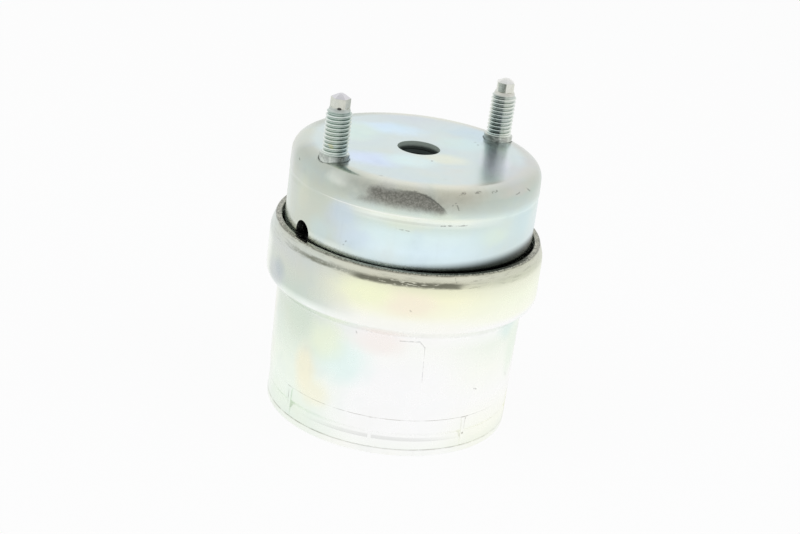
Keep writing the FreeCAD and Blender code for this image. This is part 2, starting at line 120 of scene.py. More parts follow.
# ---- Studs, M8 x 1.25, in millimetres ----
THREAD_PITCH = 1.25
THREAD_DEPTH = 0.66
THREAD_R = 4.0
THREAD_FLOOR_R = 3.2                    # no ring of the thread is thinner than this
CREST_END = 0.22                        # shares of the way from mid crest to mid root
ROOT_START = 0.74
FADE_IN = 0.7                           # the thread grows to its depth over this height
FADE_OUT = 0.25
CONE_TOP_R = 3.35                       # the thread ends in a cone, which narrows to this
CONE_SLOPE = 0.9
HEAD_R = 6.0
HEAD_HEIGHT = 2.2
HEAD_BEVEL = 0.1
NECK_R = 4.6
HEXAGON_FLATS = 5.3
STUD_THREAD_FOOT = SEAT_Z / MM + 1.7    # heights, in the frame's z
STUD_THREAD_TOP = STUD_THREAD_FOOT + 13.4
HEX_FOOT = STUD_THREAD_TOP + 0.9
HEX_TOP = HEX_FOOT + 3.0
STUD_TIP = HEX_TOP + 1.3
RING_STEPS = 96                         # points round a ring, 3.75 degrees apart
RINGS_PER_TURN = 14
SHARP_EDGE = 32.0                       # degrees
WELD_GAP = 1e-7                         # metres; points closer than this become one

# How each stud looks, with painted light and shade. Its side painted dark as shade is (from, to,
# softness of each end) in degrees, and its shaded flats (from, to); then come pairs of colours, off
# the shaded side and on it, where crests are painted light and roots painted dark as shade, and the
# cap is painted lighter. The hexagon's turn is in degrees, and a whole number of ring steps, so that
# its corners fall on points. One value turns on a gold tint and a painted dent shadow.
STUD_LOOKS = {
    "stud_left": {
        "dark": (16.0, 76.0, 16.0, 10.0), "dark_flat": (28.6, 90.0), "turn": 18.75, "gold_and_dent_shadow": 1.0,
        "crest": ((222, 230, 225), (188, 200, 196)), "root": ((176, 190, 182), (128, 141, 137)),
        "cone": (184, 190, 184), "flats": ((212, 213, 202), (190, 192, 182)), "cap": (218, 216, 220),
    },
    "stud_right": {
        "dark": (-58.0, 4.0, 22.0, 7.0), "dark_flat": (-57.6, 2.4), "turn": -7.5, "gold_and_dent_shadow": 0.0,
        "crest": ((230, 234, 226), (204, 212, 207)), "root": ((196, 204, 196), (72, 83, 78)),
        "cone": (208, 208, 198), "flats": ((224, 225, 214), (138, 139, 124)), "cap": (230, 230, 226),
    },
}


def srgb(red, green, blue):
    """A colour given as 0 to 255 on screen, as the renderer's linear values."""
    def linear(value):
        value /= 255.0
        return value / 12.92 if value <= 0.04045 else ((value + 0.055) / 1.055) ** 2.4
    return (linear(red), linear(green), linear(blue), 1.0)


# ------------------------------------------------------------------ node graphs

class Value:
    """One output of a material's graph, which can be used in sums."""

    def __init__(self, graph, socket):
        self.graph = graph
        self.socket = socket

    def __add__(self, other):
        return self.graph.math("ADD", self, other)

    def __radd__(self, other):
        return self.graph.math("ADD", other, self)

    def __sub__(self, other):
        return self.graph.math("SUBTRACT", self, other)

    def __rsub__(self, other):
        return self.graph.math("SUBTRACT", other, self)

    def __mul__(self, other):
        return self.graph.math("MULTIPLY", self, other)

    def __truediv__(self, other):
        return self.graph.math("DIVIDE", self, other)


class Graph:
    """A material with a Principled shader, and short calls for the nodes that feed it."""

    def __init__(self, name, centre_x=0.0):
        self.material = bpy.data.materials.new(name)
        self.material.use_nodes = True
        self.tree = self.material.node_tree
        self.tree.nodes.clear()
        self.output = self.tree.nodes.new("ShaderNodeOutputMaterial")
        self.shader = self.tree.nodes.new("ShaderNodeBsdfPrincipled")
        self.tree.links.new(self.shader.outputs[0], self.output.inputs["Surface"])
        place = self.tree.nodes.new("ShaderNodeTexCoord").outputs["Object"]
        scaled = self.add("ShaderNodeVectorMath", operation="SCALE")
        self.feed(scaled.inputs[0], place)
        scaled.inputs["Scale"].default_value = 1 / MM
        self.place = scaled.outputs[0]
        parts = self.add("ShaderNodeSeparateXYZ")
        self.feed(parts.inputs[0], self.place)
        self.x, self.y, self.z = (Value(self, s) for s in parts.outputs)
        self.use_axis(centre_x)

    def use_axis(self, centre_x):
        """Where a point is round an upright axis. Angle 0 faces the front.

        side goes from -1 at the left edge to 1 at the right, and drop is how far below the
        top seat a point lies.
        """
        front = math.radians(CAMERA_TURN - 90)
        x = self.x - centre_x
        ahead = x * math.cos(front) + self.y * math.sin(front)
        aside = x * -math.sin(front) + self.y * math.cos(front)
        self.angle = self.math("DEGREES", self.math("ARCTAN2", aside, ahead))
        self.radius = self.math("SQRT", ahead * ahead + aside * aside)
        self.arc = self.angle * DEGREE_ARC
        self.ahead, self.aside = ahead, aside
        self.side = aside / self.math("MAXIMUM", self.radius, 0.01)
        self.drop = SEAT_Z / MM - self.z

    def add(self, kind, **settings):
        """A new node with the given settings."""
        node = self.tree.nodes.new(kind)
        for name, value in settings.items():
            setattr(node, name, value)
        return node

    def feed(self, socket, value):
        """Links another node's output to a socket, or gives the socket a plain value."""
        if isinstance(value, Value):
            value = value.socket
        if isinstance(value, bpy.types.NodeSocket):
            self.tree.links.new(value, socket)
        else:
            socket.default_value = value

    def math(self, operation, *values, clamp=False):
        """A maths node on one or two values; clamp keeps its result between 0 and 1."""
        node = self.add("ShaderNodeMath", operation=operation, use_clamp=clamp)
        for socket, value in zip(node.inputs, values):
            self.feed(socket, value)
        return Value(self, node.outputs[0])

    def rise(self, value, low, high):
        """0 below low, 1 above high, with a soft passage between."""
        node = self.add("ShaderNodeMapRange", interpolation_type="SMOOTHSTEP")
        self.feed(node.inputs["Value"], value)
        self.feed(node.inputs["From Min"], low)
        self.feed(node.inputs["From Max"], high)
        return Value(self, node.outputs[0])

    def band(self, value, low, high, soft):
        """1 between low and high, 0 outside, with edges of the given softness."""
        inside = self.rise(value, low - soft, low + soft)
        return inside * (1.0 - self.rise(value, high - soft, high + soft))

    def place_stretched(self, across, upward):
        """Coordinates that run round the axis and up it, for marks drawn out one way."""
        node = self.add("ShaderNodeCombineXYZ")
        self.feed(node.inputs[0], self.arc * across)
        self.feed(node.inputs[1], self.z * upward)
        self.feed(node.inputs[2], self.radius * upward)
        return node.outputs[0]

    def noise(self, size, detail, rough, seed, place=None):
        """Noise from 0 to 1 whose lumps are about size millimetres."""
        node = self.add("ShaderNodeTexNoise", noise_dimensions="4D")
        self.feed(node.inputs["Vector"], place or self.place)
        node.inputs["W"].default_value = seed
        node.inputs["Scale"].default_value = 1.0 / size
        node.inputs["Detail"].default_value = detail
        node.inputs["Roughness"].default_value = rough
        return Value(self, node.outputs[0])

    def specks(self, size, radius, seed):
        """Round specks on a loose grid: 1 inside a speck."""
        node = self.add("ShaderNodeTexVoronoi", voronoi_dimensions="4D")
        self.feed(node.inputs["Vector"], self.place)
        node.inputs["W"].default_value = seed
        node.inputs["Scale"].default_value = 1.0 / size
        return 1.0 - self.rise(Value(self, node.outputs["Distance"]), radius * 0.6, radius)

    def mix(self, factor, first, second):
        """The first colour where factor is 0, the second where it is 1."""
        node = self.add("ShaderNodeMix", data_type="RGBA")
        self.feed(node.inputs[0], factor)
        self.feed(node.inputs[6], first)
        self.feed(node.inputs[7], second)
        return Value(self, node.outputs[2])

    def tint(self, value, stops):
        """A colour ramp; stops are (position, colour)."""
        node = self.add("ShaderNodeValToRGB")
        self.feed(node.inputs[0], value)
        elements = node.color_ramp.elements
        while len(elements) < len(stops):
            elements.new(0.5)
        for element, (position, colour) in zip(elements, stops):
            element.position = position
            element.color = colour
        return Value(self, node.outputs[0])

    def by_drop(self, stops):
        """A colour that changes down the mount; stops are (millimetres below the seat, colour)."""
        depth = SEAT_Z / MM
        return self.tint(self.drop / depth, [(drop / depth, srgb(*colour)) for drop, colour in stops])

    def painted_light_round_the_side(self, far, left, middle, right):
        """Painted light and shade: upright runs of colour, blended from the left edge to the right as
        the light falls; the back repeats them.
        """
        colour = self.mix(self.rise(self.side, -0.72, -0.18), self.by_drop(left), self.by_drop(middle))
        colour = self.mix(self.rise(self.side, 0.30, 0.82), colour, self.by_drop(right))
        return self.mix(1.0 - self.rise(self.side, -0.985, -0.93), colour, self.by_drop(far))

    def spot(self, across, along, middle, size, ragged=0.0):
        """1 in the middle of an oval, falling to 0 at its edge; across and along are coordinates."""
        u = (across - middle[0]) / size[0]
        v = (along - middle[1]) / size[1]
        away = self.math("SQRT", u * u + v * v)
        if ragged:
            away = away + (self.noise(size[1] * 0.8, 3.0, 0.6, middle[0]) - 0.5) * ragged
        return 1.0 - self.rise(away, 0.25, 1.0)

    def clouds(self, colour, tints, across, along, ragged, strength):
        """The colour with ovals of other tones over it, each (tone, middle, size)."""
        for tone, middle, size in tints:
            share = self.spot(across, along, middle, size, ragged)
            colour = self.mix(share * strength, colour, srgb(*tone))
        return colour

    def scratch(self, start, end, width):
        """A thin mark on the front half of a wall between two places, each (angle, drop)."""
        u0, v0 = start[0] * DEGREE_ARC, start[1]
        du, dv = end[0] * DEGREE_ARC - u0, end[1] - v0
        u, v = self.arc - u0, self.drop - v0
        length_squared = du * du + dv * dv
        along = self.math("ADD", u * (du / length_squared), v * (dv / length_squared), clamp=True)
        off_u, off_v = u - along * du, v - along * dv
        wobble = (self.noise(1.3, 2.0, 0.6, start[0]) - 0.5) * 0.3
        away = self.math("SQRT", off_u * off_u + off_v * off_v) + wobble
        facing = self.math("GREATER_THAN", self.ahead, 0.0) * self.rise(self.radius, *OFF_THE_SEAT)
        return (1.0 - self.rise(away, width * 0.4, width)) * facing

    def scratches(self, marks):
        """Several scratches, each (start, end, width); the strongest counts where they cross."""
        strongest = 0.0
        for start, end, width in marks:
            strongest = self.math("MAXIMUM", strongest, self.scratch(start, end, width))
        return strongest

    def shade(self, colour, amount):
        """The colour made darker: amount 0 leaves it, 1 turns it black."""
        return self.mix(amount, colour, (0, 0, 0, 1))

    def bump(self, height, depth):
        """Surface relief; depth in millimetres."""
        node = self.add("ShaderNodeBump")
        node.inputs["Distance"].default_value = depth * MM
        self.feed(node.inputs["Height"], height)
        self.feed(self.shader.inputs["Normal"], node.outputs[0])

    def finish(self, colour, roughness, metallic):
        """Gives the shader its values; the material is then ready to use."""
        self.feed(self.shader.inputs["Base Color"], colour)
        self.feed(self.shader.inputs["Roughness"], roughness)
        self.feed(self.shader.inputs["Metallic"], metallic)
        return self.material


# ------------------------------------------------------------------ finishes

PASTEL = [
    (0.30, srgb(214, 208, 222)),
    (0.42, srgb(200, 220, 240)),
    (0.50, srgb(206, 230, 228)),
    (0.60, srgb(232, 234, 208)),
    (0.72, srgb(240, 226, 206)),
]
# Dirt in the foot's seam, also used for the painted shade along the crimp.
SEAM_DIRT_AND_CRIMP_SHADE = srgb(128, 126, 108)

# The cup: runs of colour down its wall, each (millimetres below the seat, colour), from the
# far left edge to the right. They are painted light and shade: darker at the left and along the
# shoulder, with a painted highlight along the waist. Then come clouds and marks. On the top seat a
# place is (aside, ahead) in millimetres, on the wall (angle, drop) in degrees and millimetres.
CUP_LIT_FAR = [
    (0.0, (204, 210, 200)), (3.5, (212, 214, 207)), (9.3, (212, 219, 210)), (24.0, (212, 220, 208)),
]
CUP_LIT_LEFT = [
    (0.0, (190, 196, 186)), (1.0, (186, 192, 182)), (3.5, (190, 199, 189)), (7.0, (194, 200, 187)),
    (9.3, (199, 206, 194)), (15.0, (204, 210, 198)), (22.0, (204, 210, 198)), (24.0, (238, 244, 234)),
]
CUP_LIT_MIDDLE = [
    (0.0, (220, 221, 208)), (1.2, (210, 210, 195)), (3.5, (187, 188, 177)), (6.5, (198, 206, 197)),
    (8.2, (212, 224, 216)), (9.2, (246, 250, 236)), (10.4, (240, 247, 238)), (12.0, (216, 231, 224)),
    (15.0, (224, 242, 243)), (20.0, (225, 243, 249)), (24.0, (214, 230, 234)),
]
CUP_LIT_RIGHT = [
    (0.0, (203, 205, 200)), (1.0, (195, 199, 190)), (3.5, (192, 203, 193)), (7.0, (201, 212, 204)),
    (9.3, (222, 238, 233)), (10.5, (216, 230, 227)), (15.0, (214, 230, 229)), (24.0, (208, 222, 224)),
]
TOP_COLOUR = srgb(208, 221, 221)
TOP_TINTS = [
    ((206, 215, 219), (-4, -34), (30, 14)),
    ((210, 232, 248), (-10, -16), (15, 9)),
    ((211, 226, 248), (-14, 17), (13, 9)),
    ((212, 232, 224), (-20, -9), (10, 14)),
    ((224, 230, 216), (8, 8), (11, 7)),
    ((214, 236, 238), (-2, 14), (11, 8)),
    ((198, 217, 226), (17, -20), (14, 13)),
    ((204, 209, 211), (31, 12), (10, 16)),
    ((205, 227, 228), (13, -9), (11, 10)),
    ((234, 234, 248), (24, 3), (6, 18)),
    # Painted reflection: the last tint is the right stud's dark reflection on the top seat, in front of
    # it.
    ((186, 199, 199), (24.0, -13), (5.5, 5.0)),
]
TOP_SPECKS = [
    ((4.5, 11.4), (0.5, 0.7)), ((18.5, -11.0), (0.5, 0.6)), ((17.6, -13.4), (0.5, 0.4)),
    ((-10.0, 31.6), (0.9, 0.5)), ((9.0, 27.0), (0.35, 0.35)),
]
CUP_TINTS = [
    ((230, 233, 208), (-2, 11.6), (16, 2.6)),
    ((200, 216, 240), (-30, 13), (12, 6)),
    ((206, 220, 242), (-24, 19), (14, 5)),
    ((226, 242, 224), (42, 15), (11, 4)),
    ((230, 240, 222), (12, 8.0), (12, 1.6)),
    ((204, 226, 228), (-42, 20), (10, 6)),
    ((210, 214, 196), (-58, 12), (9, 9)),
    ((202, 226, 232), (62, 12), (12, 7)),
    ((214, 206, 196), (54, 2.2), (16, 2.2)),
    ((236, 240, 232), (-36, 2.6), (9, 2.6)),
]
CUP_MARKS = [
    ((21.0, 1.3), (24.0, 1.0), 0.4),
    ((29.0, 1.0), (32.0, 0.9), 0.35),
    ((38.0, 1.2), (41.0, 1.0), 0.35),
    ((17.6, 4.6), (19.4, 3.7), 0.45),
    ((19.4, 3.7), (21.0, 5.6), 0.35),
    ((14.0, 10.9), (19.0, 10.7), 0.22),
    ((21.0, 10.8), (26.0, 10.6), 0.20),
    ((-27.0, 20.6), (-28.2, 22.0), 0.28),
    ((-5.0, 13.1), (1.0, 13.3), 0.18),
    ((52.0, 3.0), (55.0, 2.6), 0.28),
    ((61.0, 2.2), (64.0, 3.4), 0.28),
    ((-66.0, 3.2), (-64.5, 3.4), 0.35),
]

# Where things lie on the cup: radii and drops in millimetres, angles in degrees.
SEAT_TO_WALL = (31.5, 35.0)             # the colours of seat and wall blend over these radii
OFF_THE_SEAT = (33.5, 35.5)             # scratches fade in over these
NECK_RING = (4.4, 4.95)                 # the darker ring round a stud's neck, between these radii
WAIST_HIGHLIGHT = (8.85, 9.10)
PATCH_TOP = 1.8                         # the worn patch on the shoulder
PATCH_FOOT = 6.9
PATCH_LEFT = (-21.5, -15.0)             # it fades in over these angles
PATCH_RIGHT = (13.0, 16.5)              # and out over these
PATCH_BARE = (srgb(150, 150, 142), srgb(110, 110, 103))

# The housing, the same way: painted light and shade, darker at the left and near white in the middle.
HOUSING_LIT_FAR = [
    (26.0, (206, 213, 207)), (29.0, (216, 222, 216)), (32.0, (244, 249, 240)), (44.0, (250, 252, 248)),
    (47.0, (234, 241, 234)), (52.0, (246, 249, 240)), (86.0, (243, 248, 240)),
]
HOUSING_LIT_LEFT = [
    (25.4, (196, 200, 188)), (27.0, (206, 211, 203)), (30.0, (208, 213, 209)), (35.0, (210, 216, 206)),
    (41.0, (206, 216, 205)), (42.6, (238, 246, 238)), (43.8, (250, 254, 250)), (46.2, (247, 252, 246)),
    (47.8, (218, 227, 216)), (51.0, (220, 229, 216)), (60.0, (229, 239, 226)), (68.0, (242, 249, 236)),
    (76.0, (242, 250, 240)), (81.0, (238, 247, 235)), (86.0, (236, 244, 233)),
]
HOUSING_LIT_MIDDLE = [
    (25.4, (200, 198, 179)), (26.3, (228, 228, 210)), (28.0, (208, 207, 187)), (29.6, (236, 236, 208)),
    (33.0, (252, 251, 220)), (38.0, (253, 253, 231)), (41.0, (254, 254, 246)), (47.0, (254, 254, 253)),
    (51.0, (253, 254, 250)), (60.0, (254, 254, 254)), (80.0, (254, 254, 254)), (85.0, (251, 253, 249)),
]
HOUSING_LIT_RIGHT = [
    (25.4, (194, 196, 176)), (26.6, (206, 207, 190)), (28.6, (207, 210, 189)), (30.4, (236, 238, 218)),
    (35.0, (247, 251, 230)), (41.0, (252, 254, 239)), (43.0, (254, 254, 253)), (48.0, (252, 254, 250)),
    (52.0, (244, 249, 239)), (60.0, (252, 254, 246)), (70.0, (254, 254, 252)), (82.0, (252, 253, 242)),
    (86.0, (242, 246, 233)),
]
HOUSING_TINTS = [
    ((200, 204, 208), (-64, 40), (12, 6)),
    ((184, 194, 197), (-60, 37), (7, 4.5)),
    ((251, 240, 222), (5, 35), (16, 6)),
    ((247, 251, 214), (-14, 33), (16, 6)),
    ((250, 243, 216), (-42, 66), (9, 12)),
    ((230, 250, 246), (-22, 59), (19, 11)),
    ((240, 248, 222), (-32, 54), (14, 10)),
    ((216, 228, 213), (-50, 50), (14, 11)),
    ((222, 241, 234), (63, 48), (12, 6)),
    ((234, 246, 230), (72, 57), (12, 13)),
    ((251, 242, 238), (-6, 50), (18, 6)),
    ((250, 247, 224), (-36, 73), (14, 7)),
]
RIM_EDGE = (25.45, 25.85)               # the rolled rim's sheared edge fades over these drops
RIM_LINE = (25.5, 25.85)
ROLLING_STREAK = (27.7, 29.2)
CRIMP_TOP = (75.22, 75.55)
SEAM_OVER_BASE = (85.15, 85.40)         # dirt on the housing's foot rises over these drops
SEAM_ON_BASE = (85.55, 85.90)           # and on the base's edge it ends over these
SHADED_RIDGES = (-51.5, 40.8)            # the crimp's ridges that get painted shade, as seen from the front
HOUSING_MARKS = [
    ((22.0, 26.2), (22.6, 27.6), 0.25),
    ((3.0, 48.6), (11.8, 48.4), 0.28),
    ((11.8, 48.4), (14.4, 50.3), 0.22),
    ((14.4, 50.3), (15.3, 62.1), 0.14),
    ((-17.0, 47.8), (-16.4, 48.8), 0.3),
    ((5.0, 36.6), (5.4, 36.9), 0.3),
    ((43.0, 66.0), (44.5, 66.4), 0.35),
    ((68.5, 65.8), (70.0, 66.8), 0.45),
    ((30.0, 27.2), (34.0, 27.0), 0.2),
    ((28.0, 29.2), (33.0, 29.0), 0.2),
]


def zinc_skin(graph, colour, seed, strength=0.16, dull=0.06):
    """Clear-passivated zinc over a colour: drifting pastel tints, faint clouds and a fine grain.

    Gives the colour and the clouds, which the finishes also use for their roughness.
    """
    pastel = graph.tint(graph.noise(15.0, 1.5, 0.5, seed), PASTEL)
    cloud = graph.noise(6.0, 3.0, 0.55, seed + 1)
    grain = graph.noise(0.5, 2.0, 0.6, seed + 2)
    drawn = graph.noise(1.6, 2.0, 0.5, seed + 3, graph.place_stretched(1.0, 0.08))
    colour = graph.mix(graph.rise(cloud, 0.3, 0.7) * strength, colour, pastel)
    haze = graph.rise(cloud, 0.55, 0.85) + graph.rise(drawn, 0.55, 0.8) * 0.5
    colour = graph.shade(colour, haze * dull)
    graph.bump(grain * 0.5 + drawn, 0.003)
    return colour, cloud


def worn_patch(graph, colour):
    """The cup with a worn patch on its shoulder's front, and where that patch is.

    Its edges are ragged, and its right end runs out to a point.
    """
    beyond = graph.math("MAXIMUM", graph.angle - 2.0, 0.0)
    ragged = (graph.noise(1.3, 3.0, 0.65, 5.0) - 0.5) * 1.6
    fray = (graph.noise(3.6, 3.0, 0.6, 7.0) - 0.5) * 9.0
    upper = PATCH_TOP + beyond * beyond * 0.026
    lower = PATCH_FOOT + beyond * 0.07
    top_edge = graph.rise(graph.drop - upper + ragged, -0.9, 0.8)
    foot_edge = 1.0 - graph.rise(graph.drop - lower + ragged, -2.2, 1.0)
    slant = graph.math("MAXIMUM", graph.drop - 4.5, 0.0) * 3.0
    left_edge = graph.rise(graph.angle + slant + fray + ragged * 2.0, *PATCH_LEFT)
    right_edge = 1.0 - graph.rise(graph.angle + ragged, *PATCH_RIGHT)
    patch = top_edge * foot_edge * left_edge * right_edge
    stipple = graph.noise(0.6, 3.0, 0.7, 6.0)
    thin = graph.rise(graph.drop, 3.8, 6.8) * (1.0 - graph.rise(graph.angle, -14.0, 0.0))
    bare = graph.mix(graph.rise(stipple - thin * 0.06, 0.34, 0.60), *PATCH_BARE)
    colour = graph.mix(patch * (0.94 - thin * 0.15), colour, bare)
    rim_of_patch = graph.band(graph.drop - upper + ragged, -0.35, 0.25, 0.3) * left_edge * right_edge
    colour = graph.shade(colour, rim_of_patch * graph.rise(graph.angle, -12.0, 4.0) * 0.55)
    return colour, patch


def dark_rings_round_necks(graph, colour):
    """The cup with a broken darker ring on its top round the studs' necks."""
    for side in (-1, 1):
        off_x = graph.x - side * STUD_SPACING / 2 / MM
        away = graph.math("SQRT", off_x * off_x + graph.y * graph.y)
        ring_breaks = graph.rise(graph.noise(1.5, 3.0, 0.6, 9.0 + side), 0.30, 0.55)
        ring = graph.band(away, *NECK_RING, 0.3) * ring_breaks
        colour = graph.shade(colour, ring * 0.55)
    return colour


def punched_wall(graph):
    """The colour of the centre hole's wall: torn grey, with painted shade further down."""
    tear = graph.noise(0.5, 3.0, 0.7, 9.5, graph.place_stretched(1.0, 0.25))
    deep_shade = graph.rise(graph.drop + (tear - 0.5) * 1.2, 0.9, 2.0)
    torn = graph.mix(tear, srgb(150, 166, 156), srgb(206, 218, 208))
    return graph.mix(deep_shade, torn, srgb(62, 72, 68))


def cup_finish():
    """Zinc with painted light and shade round its wall, a worn shoulder, a painted reflection of the
    dark gap at the skirt's foot and a punched hole in the top.
    """
    graph = Graph("cup_zinc")
    # Painted light and shade round the wall, darker at the left.
    wall = graph.painted_light_round_the_side(CUP_LIT_FAR, CUP_LIT_LEFT, CUP_LIT_MIDDLE, CUP_LIT_RIGHT)
    wall = graph.clouds(wall, CUP_TINTS, graph.angle, graph.drop, 0.6, 0.42)
    top = graph.clouds(TOP_COLOUR, TOP_TINTS, graph.aside, graph.ahead, 0.5, 1.0)
    for middle, size in TOP_SPECKS:
        top = graph.shade(top, graph.spot(graph.aside, graph.ahead, middle, size, 0.6) * 0.5)
    colour = graph.mix(graph.rise(graph.radius, *SEAT_TO_WALL), top, wall)
    colour, cloud = zinc_skin(graph, colour, 3.0)

    # Painted shade on the shoulder all round, most of all in front, standing for its dim reflection.
    shoulder_shade = graph.band(graph.drop, 1.0, 6.4, 1.2) * graph.rise(graph.noise(3.0, 3.0, 0.6, 4.0), 0.2, 0.7)
    colour = graph.shade(colour, shoulder_shade * (0.05 + graph.band(graph.angle, -30.0, 24.0, 9.0) * 0.13))

    colour, patch = worn_patch(graph, colour)

    # A painted highlight: the thin bright line along the fold of the waist.
    waist_highlight = graph.band(graph.drop, *WAIST_HIGHLIGHT, 0.14) * graph.band(graph.angle, -40.0, 8.0, 10.0)
    colour = graph.mix(waist_highlight * 0.6, colour, srgb(255, 255, 252))

    # A painted reflection of the dark gap on the skirt's foot, more towards the right.
    start = 24.3 - graph.math("MAXIMUM", graph.angle, 0.0) * 0.052
    gap_reflection = graph.rise(graph.drop - start, -1.3, 2.0) * graph.rise(graph.angle, -10.0, 8.0)
    gap_reflection = gap_reflection * (1.0 - graph.rise(graph.angle, 84.0, 110.0))
    colour = graph.mix(gap_reflection * 0.94, colour, srgb(50, 56, 52))

    broken = graph.rise(graph.noise(0.7, 2.0, 0.6, 8.0), 0.40, 0.56)
    colour = graph.shade(colour, graph.scratches(CUP_MARKS) * broken * 0.42)
    colour = dark_rings_round_necks(graph, colour)
    rough = 0.24 + (cloud - 0.5) * 0.12 + patch * 0.12

    # The punched wall of the centre hole is rough and takes light as a matt surface does.
    punched = 1.0 - graph.rise(graph.radius, CENTRE_HOLE_R + 0.02, CENTRE_HOLE_R + 0.12)
    colour = graph.mix(punched, colour, punched_wall(graph))
    return graph.finish(colour, rough + punched * 0.35, 1.0 - punched * 0.85)


def seam_dirt(graph):
    """How much dirt lies in the seam over the base: more at the sides than in front, and broken."""
    beside = graph.rise(graph.math("ABSOLUTE", graph.angle + 4.0), 8.0, 34.0)
    beside = beside * (0.30 - graph.rise(graph.angle, 0.0, 20.0) * 0.14)
    return (0.04 + beside) * graph.rise(graph.noise(2.6, 2.0, 0.6, 21.0), 0.28, 0.60)


def rolling_marks(graph, colour, speckle):
    """The housing with the streak that the rolling tool burnished under the rim, with painted glints in
    its middle.
    """
    wander = graph.noise(1.6, 3.0, 0.6, 15.0, graph.place_stretched(0.5, 1.0)) - 0.5
    streak = graph.band(graph.drop + wander, *ROLLING_STREAK, 0.45)
    front = graph.band(graph.angle + wander * 4.0, -20.0, 25.0, 3.5)
    faint = graph.band(graph.angle + wander * 6.0, -54.0, -20.0, 6.0)
    # Painted highlights: glints in the middle of the streak.
    glint_highlights = graph.rise(graph.noise(0.8, 2.0, 0.6, 16.0, graph.place_stretched(0.30, 1.0)), 0.54, 0.62)
    glint_highlights = glint_highlights * graph.band(graph.angle, -13.0, 15.0, 3.0)
    burnished = graph.mix(glint_highlights * 0.9, srgb(112, 112, 98), srgb(226, 226, 208))
    colour = graph.mix(streak * front * 0.92, colour, burnished)
    thin = graph.band(graph.drop + wander, 27.5, 28.7, 0.4) * graph.rise(speckle, 0.32, 0.52)
    colour = graph.mix(thin * faint * 0.7, colour, srgb(138, 142, 130))
    hatch = graph.noise(0.9, 3.0, 0.65, 20.0, graph.place_stretched(0.22, 1.6))
    brushed = graph.band(graph.drop, 25.8, 29.6, 0.5) * graph.rise(hatch, 0.50, 0.66)
    colour = graph.shade(colour, brushed * 0.16)
    rubbed = graph.spot(graph.angle, graph.drop + wander * 0.6, (-37.0, 28.2), (10.0, 1.0), 0.4)
    colour = graph.mix(rubbed * graph.rise(hatch, 0.34, 0.52) * 0.8, colour, srgb(126, 128, 114))
    return colour


def housing_finish():
    """Brighter zinc with painted light and shade round its side, rubbed under the rolled rim, with
    painted shade along the crimp and dirt in the foot's seam.
    """
    graph = Graph("housing_zinc")
    # Painted light and shade round the side, near white in the middle.
    colour = graph.painted_light_round_the_side(HOUSING_LIT_FAR, HOUSING_LIT_LEFT, HOUSING_LIT_MIDDLE, HOUSING_LIT_RIGHT)
    colour = graph.clouds(colour, HOUSING_TINTS, graph.angle, graph.drop, 0.5, 0.7)
    # The skin's tints and haze are weaker from the middle to the right, where the painted light is
    # brightest.
    pale = 1.0 - graph.rise(graph.side, -0.55, 0.0) * 0.8
    colour, cloud = zinc_skin(graph, colour, 11.0, pale * 0.10, pale * 0.04)

    # The rolled-in rim: a rough sheared edge on top, with a dark line round its outside.
    speckle = graph.noise(0.5, 3.0, 0.7, 13.0)
    edge = graph.mix(graph.rise(speckle, 0.42, 0.56), srgb(184, 184, 170), srgb(104, 105, 94))
    colour = graph.mix((1.0 - graph.rise(graph.drop, *RIM_EDGE)) * 0.92, colour, edge)
    gaps = graph.rise(graph.noise(2.5, 2.0, 0.6, 14.0), 0.3, 0.6)
    line = graph.band(graph.drop, *RIM_LINE, 0.15) * gaps
    colour = graph.shade(colour, line * 0.4)

    colour = rolling_marks(graph, colour, speckle)

    # The crimp: painted shade along the band's top step and down its ridges, broken by noise, and dirt
    # in the foot's seam.
    smudge = graph.rise(graph.noise(2.2, 3.0, 0.6, 18.0), 0.30, 0.62)
    crimp_shade = graph.band(graph.drop, *CRIMP_TOP, 0.10)
    seam = graph.rise(graph.drop, *SEAM_OVER_BASE) * seam_dirt(graph)
    shaded_ridge_lines = [((angle, 76.0), (angle, 79.6), 0.30) for angle in SHADED_RIDGES]
    shaded_ridge_lines += [((angle - 0.8, 81.2), (angle + 0.4, 81.2), 0.45) for angle in SHADED_RIDGES]
    crimp_shade = graph.math("MAXIMUM", crimp_shade, graph.scratches(shaded_ridge_lines))
    crimp_shade_and_seam_dirt = graph.math("MAXIMUM", crimp_shade * smudge * 0.55, seam)
    colour = graph.mix(crimp_shade_and_seam_dirt, colour, SEAM_DIRT_AND_CRIMP_SHADE)

    broken = graph.rise(graph.noise(0.8, 2.0, 0.6, 19.0), 0.36, 0.54)
    colour = graph.shade(colour, graph.scratches(HOUSING_MARKS) * broken * 0.26)
    return graph.finish(colour, 0.28 + (cloud - 0.5) * 0.14, 1.0)


def base_finish():
    """The same zinc on the base plate, of which only the edge shows; painted light makes it darker at
    the left and near white in the middle.
    """
    graph = Graph("base_zinc")
    # Painted light and shade, from the left edge to the right.
    colour = graph.mix(graph.rise(graph.side, -0.72, -0.18), srgb(243, 248, 239), srgb(254, 254, 251))
    colour = graph.mix(graph.rise(graph.side, 0.40, 0.90), colour, srgb(250, 252, 242))
    colour, cloud = zinc_skin(graph, colour, 17.0, 0.10)
    seam = 1.0 - graph.rise(graph.drop, *SEAM_ON_BASE)
    colour = graph.mix(seam * seam_dirt(graph), colour, SEAM_DIRT_AND_CRIMP_SHADE)
    return graph.finish(colour, 0.30 + (cloud - 0.5) * 0.14, 1.0)


